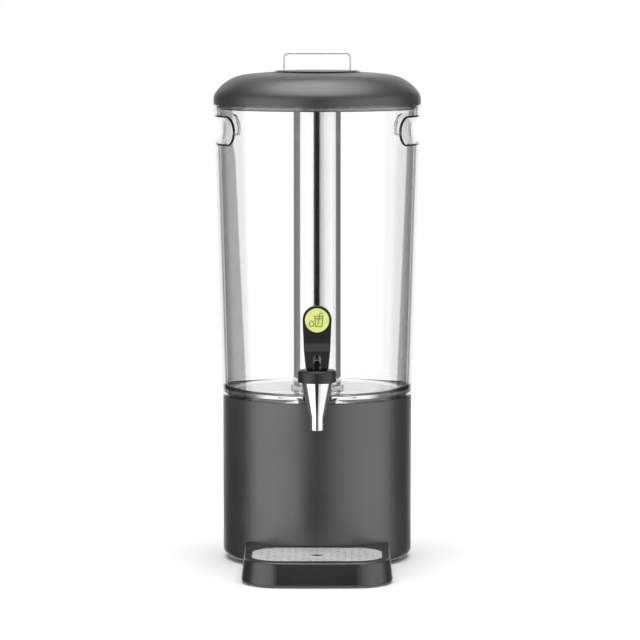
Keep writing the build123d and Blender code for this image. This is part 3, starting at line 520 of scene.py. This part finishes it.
def make_handle():
    """A bent steel strap with eased edges. Its feet turn in under the lid's pads."""
    side, foot_end, bend = 37.5, 21.0, 5.0
    foot_level, top_level = 546.5, 574.0
    path = [
        (-foot_end, foot_level), (-side, foot_level), (-side, top_level),
        (side, top_level), (side, foot_level), (foot_end, foot_level),
    ]
    line = rounded(path, [0, bend, bend, bend, bend, 0], steps=12, closed=False)
    half_thick, half_deep, ease = 1.0, 7.75, 0.65
    edges = [
        (-half_thick, -half_deep), (half_thick, -half_deep),
        (half_thick, half_deep), (-half_thick, half_deep),
    ]
    section = rounded(edges, [ease] * 4, steps=4)
    corners, faces = [], []
    count = len(section)
    for i, point in enumerate(line):
        before = Vector(line[max(i - 1, 0)])
        after = Vector(line[min(i + 1, len(line) - 1)])
        along = (after - before).normalized()
        corners += [(point[0] - along.y * n, d, point[1] + along.x * n) for n, d in section]
    for i in range(len(line) - 1):
        for k in range(count):
            m = (k + 1) % count
            faces.append((i * count + k, i * count + m, (i + 1) * count + m, (i + 1) * count + k))
    faces.append(tuple(range(count)))
    faces.append(tuple(range(len(corners) - 1, len(corners) - count - 1, -1)))
    strap = linked("handle_strap", facing_out(mesh_from("handle_strap", corners, faces)))
    finished(strap, "cover", "handle", handle_steel, 50)


make_handle()

# ---------------------------------------------------------------- lever and its badge

LEVER_TOP = 301.3
BLADE_FRONT = -158.0


def make_lever():
    """The moulded lever: a flat thumb blade over a thicker foot, with an arched slot for the stem."""
    low, crease = 230.3, 252.0
    foot_front, foot_back, blade_back = -164.6, -143.0, -151.0
    toe_half, crease_half, blade_half = 12.25, 14.5, 16.0
    side = rounded(
        [
            (foot_front, low), (foot_back, low), (foot_back, 246.5), (blade_back, 255.0),
            (blade_back, LEVER_TOP), (BLADE_FRONT, LEVER_TOP), (BLADE_FRONT, 263.0), (foot_front, 251.0),
        ],
        [5.0, 2.0, 4.0, 7.0, 1.2, 1.2, 16.0, 1.2],
    )
    shoulder = LEVER_TOP - blade_half
    crown_radius = 15.98  # a touch less than the blade's half, so that the two arcs never cross
    front = rounded(
        [
            (-toe_half, low), (toe_half, low), (crease_half, crease), (blade_half, shoulder),
            (blade_half, LEVER_TOP), (-blade_half, LEVER_TOP), (-blade_half, shoulder),
            (-crease_half, crease),
        ],
        [3.5, 3.5, 12.0, 0, crown_radius, crown_radius, 0, 12.0], steps=14,
    )
    clear_front, clear_back = -175, -135
    lever = prism("lever_body", side, -20, 20, "X")
    cut_by(lever, prism("front_outline", front, clear_front, clear_back, "Y"), "INTERSECT")
    slot_half, slot_low, arch_z, arch_steps = 3.65, 228.0, 244.1, 12
    turns = [pi * k / arch_steps for k in range(arch_steps + 1)]
    arch = [(slot_half * cos(turn), arch_z + slot_half * sin(turn)) for turn in turns]
    slot = [(-slot_half, slot_low), (slot_half, slot_low)] + arch
    cut_by(lever, prism("stem_slot", slot, clear_front, clear_back, "Y"))
    with_modifier(lever, "REMESH", mode="VOXEL", voxel_size=0.42 * MM)
    with_modifier(lever, "SMOOTH", factor=0.6, iterations=5)
    finished(lever, "tap_lever", "lever", tap_plastic, 70)


def stroke(line, width, low, high, closed=False):
    """Corners and faces of a flat raised line on the badge's face, with mitred bends."""
    sharpest_mitre = 0.35
    count = len(line)
    lefts, rights = [], []
    for i, point in enumerate(line):
        here = Vector(point)
        back = Vector(line[i - 1]) if closed or i else here - (Vector(line[1]) - here)
        ahead = Vector(line[(i + 1) % count])
        if not closed and i == count - 1:
            ahead = here * 2 - Vector(line[i - 1])
        one, two = (here - back).normalized(), (ahead - here).normalized()
        across = Vector((-(one + two).y, (one + two).x)).normalized()
        reach = width / 2 / max(sharpest_mitre, across.dot(Vector((-one.y, one.x))))
        lefts.append(here + across * reach)
        rights.append(here - across * reach)
    corners = [(p.x, y, p.y) for y in (low, high) for side in (lefts, rights) for p in side]
    faces = []
    for i in range(count if closed else count - 1):
        j = (i + 1) % count
        a, b, c, d = i, count + i, 2 * count + i, 3 * count + i
        e, f, g, h = j, count + j, 2 * count + j, 3 * count + j
        faces += [(c, g, h, d), (a, b, f, e), (a, e, g, c), (b, d, h, f)]
    if not closed:
        last = count - 1
        faces += [(0, 2 * count, 3 * count, count), (last, count + last, 3 * count + last, 2 * count + last)]
    return corners, faces


def badge_button(radius, middle_z):
    """The badge's round button, with a low rim round its face."""
    rim, face, rim_inner, face_edge = 0.9, 0.72, 12.4, 12.2
    edge = rounded(
        [(radius, 0.0), (radius, rim), (rim_inner, rim), (face_edge, face)],
        [0, 0.3, 0.2, 0.2], steps=4, closed=False,
    )
    segments = 96
    corners, faces = [], []
    count = len(edge)
    for k in range(segments):
        turn = 2 * pi * k / segments
        corners += [(r * cos(turn), BLADE_FRONT - h, middle_z + r * sin(turn)) for r, h in edge]
    for k in range(segments):
        here, there = k * count, (k + 1) % segments * count
        faces += [(here + i, here + i + 1, there + i + 1, there + i) for i in range(count - 1)]
    faces.append(tuple(k * count for k in range(segments)))
    faces.append(tuple(k * count + count - 1 for k in range(segments)))
    return linked("badge_button", facing_out(mesh_from("badge_button", corners, faces)))


def badge_relief(middle_z):
    """The mark that stands up from the badge's face: a tumbler with its drink, a straw and a drop."""
    line_width, line_low, line_high = 0.85, -158.6, -158.9
    turns = [2 * pi * k / 20 for k in range(20)]
    drop = [(2.5 * sin(turn) * (1 - 0.4 * cos(turn)) - 6.1, 3.1 * cos(turn) - 3.4) for turn in turns]
    tumbler = [(-2.6, 4.6), (6.4, 4.6), (5.3, -6.6), (-1.5, -6.6)]
    drink = [(-2.3, 1.6), (-0.6, 2.2), (1.4, 1.1), (3.6, 2.2), (6.1, 1.6)]
    straw = [(0.9, -4.6), (3.1, 7.4), (6.0, 8.4)]
    corners, faces = [], []
    for line, closed in ((tumbler, True), (drink, False), (straw, False), (drop, True)):
        lifted = [(x, middle_z + z) for x, z in line]
        some, more = stroke(lifted, line_width, line_low, line_high, closed)
        faces += [tuple(len(corners) + i for i in face) for face in more]
        corners += some
    return facing_out(mesh_from("badge_relief", corners, faces))


def make_badge():
    """A round button on the lever's blade, with a plain drinks mark in relief."""
    radius, middle_z = 13.2, 285.3
    button = badge_button(radius, middle_z)
    button.data.materials.append(badge_enamel)
    button.data.materials.append(badge_mark)
    shape = bmesh.new()
    shape.from_mesh(button.data)
    known = len(shape.faces)
    shape.from_mesh(badge_relief(middle_z))
    shape.faces.ensure_lookup_table()
    for face in shape.faces[known:]:
        face.material_index = 1
    shape.to_mesh(button.data)
    shape.free()
    finished(button, "tap_lever", "badge")


make_lever()
make_badge()

# ---------------------------------------------------------------- what repeats


def new_maker(name, inputs):
    """A Geometry Nodes tree with its named inputs."""
    tree = bpy.data.node_groups.new(name, "GeometryNodeTree")
    tree.interface.new_socket(name="Geometry", in_out="OUTPUT", socket_type="NodeSocketGeometry")
    tree.interface.new_socket(name="Geometry", in_out="INPUT", socket_type="NodeSocketGeometry")
    kinds = {"size": "NodeSocketFloat", "count": "NodeSocketInt", "finish": "NodeSocketMaterial"}
    for label, kind in inputs:
        tree.interface.new_socket(name=label, in_out="INPUT", socket_type=kinds[kind])
    return tree, tree.nodes.new("NodeGroupInput").outputs, tree.nodes.new("NodeGroupOutput")


def moved(tree, shape, place):
    """A node that moves a shape by another node's vector."""
    return put(tree, "GeometryNodeTransform", {"Geometry": shape, "Translation": place.outputs[0]})


def put_out(tree, shape, material, out):
    """Ends a tree: gives what a node makes its material, and puts it out."""
    inputs = {"Geometry": shape.outputs[0], "Material": material}
    finish = put(tree, "GeometryNodeSetMaterial", inputs)
    tree.links.new(finish.outputs[0], out.inputs[0])


def made_by(name, tree, points, values):
    """Runs a tree on a set of points and returns the result as a plain mesh object."""
    mesh = bpy.data.meshes.new(name)
    mesh.from_pydata([tuple(x * MM for x in p) for p in points], [], [])
    piece = linked(name, mesh)
    added = piece.modifiers.new("maker", "NODES")
    added.node_group = tree
    for item in tree.interface.items_tree:
        if item.in_out == "INPUT" and item.name in values:
            added[item.identifier] = values[item.name]
    evaluated(piece)
    facing_out(piece.data)
    return piece


def perforated_sheet():
    """A sheet with round corners, a finger hole in its middle and a small hole at each point."""
    tree, given, out = new_maker(
        "perforated_sheet",
        [("Width", "size"), ("Depth", "size"), ("Corner", "size"), ("Middle", "size"), ("Low", "size"),
         ("Thickness", "size"), ("Hole_radius", "size"), ("Finger_hole", "size"), ("Finish", "finish")],
    )
    sheet = {"Width": given["Width"], "Height": given["Depth"]}
    square = put(tree, "GeometryNodeCurvePrimitiveQuadrilateral", sheet)
    corners = {"Curve": square.outputs[0], "Radius": given["Corner"], "Count": 24}
    fillet = put(tree, "GeometryNodeFilletCurve", corners, mode="POLY")
    place = put(tree, "ShaderNodeCombineXYZ", {"Y": given["Middle"]})
    outline = moved(tree, fillet.outputs[0], place)
    finger = put(tree, "GeometryNodeCurvePrimitiveCircle", {"Resolution": 48, "Radius": given["Finger_hole"]})
    grip = moved(tree, finger.outputs[0], place)
    circle = put(tree, "GeometryNodeCurvePrimitiveCircle", {"Resolution": 20, "Radius": given["Hole_radius"]})
    at_points = {"Points": given["Geometry"], "Instance": circle.outputs[0]}
    holes = put(tree, "GeometryNodeInstanceOnPoints", at_points)
    real = put(tree, "GeometryNodeRealizeInstances", {0: holes.outputs[0]})
    joined = put(tree, "GeometryNodeJoinGeometry")
    for part in (real, grip, outline):
        tree.links.new(part.outputs[0], joined.inputs[0])
    filled = put(tree, "GeometryNodeFillCurve", {"Curve": joined.outputs[0]})
    raised = put(
        tree, "GeometryNodeExtrudeMesh",
        {"Mesh": filled.outputs[0], "Offset Scale": given["Thickness"], "Individual": False},
    )
    flipped = put(tree, "GeometryNodeFlipFaces", {"Mesh": filled.outputs[0]})
    whole = put(tree, "GeometryNodeJoinGeometry")
    for part in (raised, flipped):
        tree.links.new(part.outputs[0], whole.inputs[0])
    solid = put(tree, "GeometryNodeMergeByDistance", {"Geometry": whole.outputs[0], "Distance": 0.000005})
    level = put(tree, "ShaderNodeCombineXYZ", {"Z": given["Low"]})
    lifted = moved(tree, solid.outputs[0], level)
    put_out(tree, lifted, given["Finish"], out)
    return tree


def past_corner(x, y, width, depth, corner):
    """How far a place lies outside the rectangle that joins the middles of the corners' arcs."""
    return hypot(max(abs(x) - width / 2 + corner, 0), max(abs(y) - depth / 2 + corner, 0))


def make_grill():
    """The drip grill: a sheet with rows of staggered holes and one finger hole. The walls of the holes get a
    near-black steel as painted shade.
    """
    low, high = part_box("grill")
    width, depth = (high.x - low.x) / MM, (high.y - low.y) / MM
    middle = (high.y + low.y) / 2 / MM
    corner, hole, finger = 33.0, 2.3, 8.0
    pitch_x, pitch_y, columns, rows = 7.7, 8.0, 8, 5
    points = []
    for column in range(-columns, columns + 1):
        for row in range(-rows, rows + 1):
            if (column + row) % 2:
                continue
            x, y = column * pitch_x, row * pitch_y
            clear_of_edge = past_corner(x, y, width, depth, corner) < corner - 3 * hole
            if clear_of_edge and hypot(x, y) > finger + 2 * hole:
                points.append((x, middle + y, 0.0))
    values = {
        "Width": width * MM, "Depth": depth * MM, "Corner": corner * MM, "Middle": middle * MM,
        "Low": low.z, "Thickness": high.z - low.z, "Hole_radius": hole * MM, "Finger_hole": finger * MM,
        "Finish": grill_steel,
    }
    sheet = made_by("perforated_grill", perforated_sheet(), points, values)
    sheet.data.materials.append(painted_hole_shade)
    rim, upright = 1.5, 0.3
    # The upright walls inside the holes get the painted shade material.
    for face in sheet.data.polygons:
        x, y = face.center.x / MM, face.center.y / MM - middle
        inside = abs(x) < width / 2 - rim and abs(y) < depth / 2 - rim
        off_corner = past_corner(x, y, width, depth, corner) < corner - rim
        if abs(face.normal.z) < upright and inside and off_corner:
            face.material_index = 1
    finished(sheet, "drip_grill", "grill")


make_grill()


def screw_set():
    """Pan head screws with a cross recess, one at each point, heads down."""
    tree, given, out = new_maker(
        "screw_set", [("Head_radius", "size"), ("Head_height", "size"), ("Shank_radius", "size"),
                      ("Shank_length", "size"), ("Turn", "size"), ("Finish", "finish")],
    )

    def rod(radius, length, base, sides):
        """A round rod that stands on a level."""
        sizes = {"Vertices": sides, "Radius": radius, "Depth": length}
        tube = put(tree, "GeometryNodeMeshCylinder", sizes).outputs["Mesh"]
        middle = maths(tree, "ADD", maths(tree, "MULTIPLY", length, 0.5), base)
        return moved(tree, tube, put(tree, "ShaderNodeCombineXYZ", {"Z": middle})).outputs[0]

    def slab(turned):
        """One arm of the cross recess."""
        long_side = maths(tree, "MULTIPLY", given["Head_radius"], 1.1)
        short_side = maths(tree, "MULTIPLY", given["Head_radius"], 0.22)
        sides = (short_side, long_side) if turned else (long_side, short_side)
        size = put(tree, "ShaderNodeCombineXYZ", {"X": sides[0], "Y": sides[1], "Z": given["Head_height"]})
        return put(tree, "GeometryNodeMeshCube", {"Size": size.outputs[0]}).outputs["Mesh"]

    head = rod(given["Head_radius"], given["Head_height"], 0.0, 24)
    shank = rod(given["Shank_radius"], given["Shank_length"], 0.0, 16)
    union = put(tree, "GeometryNodeMeshBoolean", operation="UNION", solver="EXACT")
    for part in (head, shank):
        tree.links.new(part, union.inputs["Mesh 2"])
    cut = put(tree, "GeometryNodeMeshBoolean", operation="DIFFERENCE", solver="EXACT")
    tree.links.new(union.outputs["Mesh"], cut.inputs["Mesh 1"])
    for turned in (False, True):
        tree.links.new(slab(turned), cut.inputs["Mesh 2"])
    place = put(tree, "GeometryNodeInputPosition").outputs[0]
    split = put(tree, "ShaderNodeSeparateXYZ", {"Vector": place}).outputs
    facing = maths(tree, "ADD", maths(tree, "ARCTAN2", split["Y"], split["X"]), given["Turn"])
    spin = put(tree, "ShaderNodeCombineXYZ", {"Z": facing}).outputs[0]
    many = put(
        tree, "GeometryNodeInstanceOnPoints",
        {"Points": given["Geometry"], "Instance": cut.outputs["Mesh"], "Rotation": spin},
    )
    real = put(tree, "GeometryNodeRealizeInstances", {0: many.outputs[0]})
    put_out(tree, real, given["Finish"], out)
    return tree


def coil():
    """A round wire wound up from each point."""
    tree, given, out = new_maker(
        "coil", [("Turns", "size"), ("Radius", "size"), ("Wire_radius", "size"), ("Height", "size"),
                 ("Finish", "finish")],
    )
    line = put(
        tree, "GeometryNodeCurveSpiral",
        {"Resolution": 32, "Rotations": given["Turns"], "Start Radius": given["Radius"],
         "End Radius": given["Radius"], "Height": given["Height"]},
    )
    round_wire = {"Resolution": 10, "Radius": given["Wire_radius"]}
    section = put(tree, "GeometryNodeCurvePrimitiveCircle", round_wire)
    wire = put(
        tree, "GeometryNodeCurveToMesh",
        {"Curve": line.outputs[0], "Profile Curve": section.outputs[0], "Fill Caps": True},
    )
    many = put(
        tree, "GeometryNodeInstanceOnPoints", {"Points": given["Geometry"], "Instance": wire.outputs[0]}
    )
    real = put(tree, "GeometryNodeRealizeInstances", {0: many.outputs[0]})
    put_out(tree, real, given["Finish"], out)
    return tree


def make_spring():
    """The tap's spring, wound up the height of its node; in the real tap the stem's collar shortens it as the
    lever tips, which this piece does not do.
    """
    low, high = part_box("tap_spring")
    wire, radius, turns, shortens_by = 0.45, 6.5, 8.0, 4.55
    length = (high.z - low.z) / MM
    values = {
        "Turns": turns, "Radius": radius * MM, "Wire_radius": wire * MM,
        "Height": (length - 2 * wire) * MM, "Finish": screw_steel,
    }
    spring = made_by("spring_coil", coil(), [(0.0, TAP_Y, low.z / MM + wire)], values)
    finished(spring, "vessel", "tap_spring", angle=50)
    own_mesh(spring)


make_spring()


def ring_of(count, radius, start=0.0):
    """Points evenly round a circle, the first at the start angle in degrees."""
    turns = [radians(start) + 2 * pi * k / count for k in range(count)]
    return [(radius * cos(turn), radius * sin(turn)) for turn in turns]


def make_screws():
    """The screws of the bottom plate, the liner and the handle."""
    tree = screw_set()
    base_ring, liner_ring, handle_pair = ring_of(6, 79.8), ring_of(4, 95.0, 45.0), [(-25.25, 0), (25.25, 0)]
    # name, node, body, places, then the head's radius and height and the shank's radius
    sets = [
        ("base_screw_set", "base_screws", "pedestal", base_ring, 3.4, 0.9, 1.5),
        ("liner_screw_set", "liner_screws", "cover", liner_ring, 3.4, 2.0, 1.5),
        ("handle_screw_set", "handle_screws", "cover", handle_pair, 3.8, 2.5, 2.0),
    ]
    for name, node, body, places, head, head_height, shank in sets:
        low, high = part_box(node)
        points = [(x, y, low.z / MM) for x, y in places]
        values = {
            "Head_radius": head * MM, "Head_height": head_height * MM, "Shank_radius": shank * MM,
            "Shank_length": high.z - low.z, "Turn": 0.4, "Finish": screw_steel,
        }
        finished(made_by(name, tree, points, values), body, node)


make_screws()

# ---------------------------------------------------------------- tray


def merged_copy(name, node):
    """A copy of a part's mesh with its seams closed. Its shading directions are kept on the corners."""
    source = bpy.data.objects[node]
    mesh = source.data.copy()
    mesh.name = name
    mesh.transform(source.matrix_world)
    kept = mesh.attributes.new("kept", "FLOAT_VECTOR", "CORNER")
    for item, direction in zip(kept.data, [tuple(corner.vector) for corner in mesh.corner_normals]):
        item.vector = direction
    shape = bmesh.new()
    shape.from_mesh(mesh)
    bmesh.ops.remove_doubles(shape, verts=shape.verts, dist=SEAM)
    return mesh, shape


def with_kept_shading(piece, bend):
    """Puts the kept shading directions back, each changed by the bend at its corner."""
    mesh = piece.data
    kept = [Vector(item.vector) for item in mesh.attributes["kept"].data]
    kept = [bend(mesh.vertices[loop.vertex_index].co, way) for loop, way in zip(mesh.loops, kept)]
    mesh.attributes.remove(mesh.attributes["kept"])
    mesh.normals_split_custom_set([way.normalized() for way in kept])


# The tray's bow, in metres: half its width, how far its middle comes forward, and where it starts.
TRAY_HALF = 83.0 * MM
BOW = 4.0 * MM
BOW_STARTS = -0.213
BOW_EASES_IN = 0.006


def bow_share(y):
    """How much of the bow a place takes: none behind its start, and all of it at the front."""
    share = max(0.0, min(1.0, (BOW_STARTS - y) / BOW_EASES_IN))
    return share * share * (3 - 2 * share)


def bowed(place, way):
    """A shading direction on the tray, turned with the bow of its front."""
    slope = bow_share(place.y) * BOW * 2 * place.x / TRAY_HALF ** 2 if abs(place.x) < TRAY_HALF else 0.0
    return Vector((way.x - way.y * slope, way.y, way.z))


def make_tray():
    """The drip tray, whose front is slightly bowed."""
    strip, strips_each_side = 4 * MM, 19
    mesh, shape = merged_copy("tray_body", "drip_tray")
    for step in range(-strips_each_side, strips_each_side + 1):
        everything = shape.verts[:] + shape.edges[:] + shape.faces[:]
        place, across = Vector((step * strip, 0, 0)), Vector((1, 0, 0))
        bmesh.ops.bisect_plane(shape, geom=everything, dist=0.0000005, plane_co=place, plane_no=across)
    for corner in shape.verts:
        corner.co.y -= bow_share(corner.co.y) * BOW * max(0.0, 1 - (corner.co.x / TRAY_HALF) ** 2)
    shape.to_mesh(mesh)
    shape.free()
    body = finished(linked("tray_body", mesh), "tray", "drip_tray", tray_plastic, 60)
    with_kept_shading(body, bowed)


make_tray()

# ---------------------------------------------------------------- studio


def make_studio():
    """A white room seen directly; reflections see soft boxes left, right and overhead."""
    world = bpy.data.worlds.new("studio")
    scene.world = world
    world.use_nodes = True
    tree = world.node_tree
    tree.nodes.clear()
    direction = put(tree, "ShaderNodeTexCoord").outputs["Generated"]
    split = put(tree, "ShaderNodeSeparateXYZ", {0: direction}).outputs
    angle = maths(tree, "ARCTAN2", split["X"], maths(tree, "MULTIPLY", split["Y"], -1.0))
    around = maths(tree, "ADD", maths(tree, "DIVIDE", angle, 2 * pi), 0.5)
    ramp = put(tree, "ShaderNodeValToRGB", {"Fac": around})
    # degrees round from the front, to the right as positive, and how bright the room's wall is there
    stops = [
        (-180, 0.50), (-158, 0.50), (-150, 0.05), (-93, 0.08), (-86, 0.78), (-60, 0.90), (-20, 0.78),
        (-14, 0.02), (9, 0.01), (17, 0.42), (45, 0.70), (70, 0.78), (98, 0.62), (105, 0.08),
        (150, 0.05), (158, 0.50), (180, 0.50),
    ]
    ramp.color_ramp.interpolation = "LINEAR"
    elements = ramp.color_ramp.elements
    while len(elements) > 1:
        elements.remove(elements[-1])
    elements[0].position = 0.0
    elements[0].color = grey(stops[0][1])
    for degrees, level in stops[1:]:
        elements.new(degrees / 360 + 0.5).color = grey(level)
    height = split["Z"]
    walls = maths(tree, "MULTIPLY", ramp.outputs["Color"], 2.0)
    lit = blended(tree, between(tree, height, 0.42, 0.60), walls, grey(0.12))
    topped = blended(tree, between(tree, height, 0.80, 0.90), lit, grey(4.0))
    surround = blended(tree, between(tree, height, -0.62, -0.80), topped, grey(0.9))
    path = put(tree, "ShaderNodeLightPath").outputs
    bounces = maths(tree, "SUBTRACT", path["Ray Depth"], path["Transmission Depth"])
    through = maths(tree, "MULTIPLY", maths(tree, "LESS_THAN", bounces, 1.5), path["Is Transmission Ray"])
    direct = maths(tree, "MAXIMUM", path["Is Camera Ray"], through)
    colour = blended(tree, direct, surround, grey(1.0))
    background = put(tree, "ShaderNodeBackground", {"Color": colour, "Strength": 1.0})
    put(tree, "ShaderNodeOutputWorld", {"Surface": background.outputs[0]})


make_studio()


def make_floor():
    """A pale round floor that fades out, and that reflections don't see."""
    radius = 1.0
    fades_from, fades_to = 0.32, 0.75
    mesh = bpy.data.meshes.new("floor")
    shape = bmesh.new()
    bmesh.ops.create_circle(shape, cap_ends=True, segments=96, radius=radius)
    shape.to_mesh(mesh)
    shape.free()
    floor = linked("floor", mesh)
    floor.visible_glossy = False
    made, tree, shader = new_material("pale_floor")
    place = put(tree, "ShaderNodeTexCoord").outputs["Object"]
    slow = put(tree, "ShaderNodeTexNoise", {"Vector": place, "Scale": 3.0, "Detail": 3.0}).outputs[0]
    away = put(tree, "ShaderNodeVectorMath", {0: place}, operation="LENGTH").outputs["Value"]
    feed(
        tree, shader, Base_Color=blended(tree, between(tree, slow, 0.3, 0.7), grey(0.90), grey(0.92)),
        Roughness=0.7, Specular_IOR_Level=0.1, Alpha=between(tree, away, fades_to, fades_from),
    )
    mesh.materials.append(made)


make_floor()

# ---------------------------------------------------------------- camera


def make_camera():
    """A long lens in front of the dispenser, a little above its top, looking slightly down."""
    data = bpy.data.cameras.new("camera")
    data.lens = 203.5
    data.sensor_width = 36.0
    camera = bpy.data.objects.new("camera", data)
    scene.collection.objects.link(camera)
    camera.location = (0.0035, -4.1, 0.65)
    aim = Vector((0.0032, 0.0, 0.2711))
    camera.rotation_euler = (aim - camera.location).to_track_quat("-Z", "Y").to_euler()
    scene.camera = camera


make_camera()
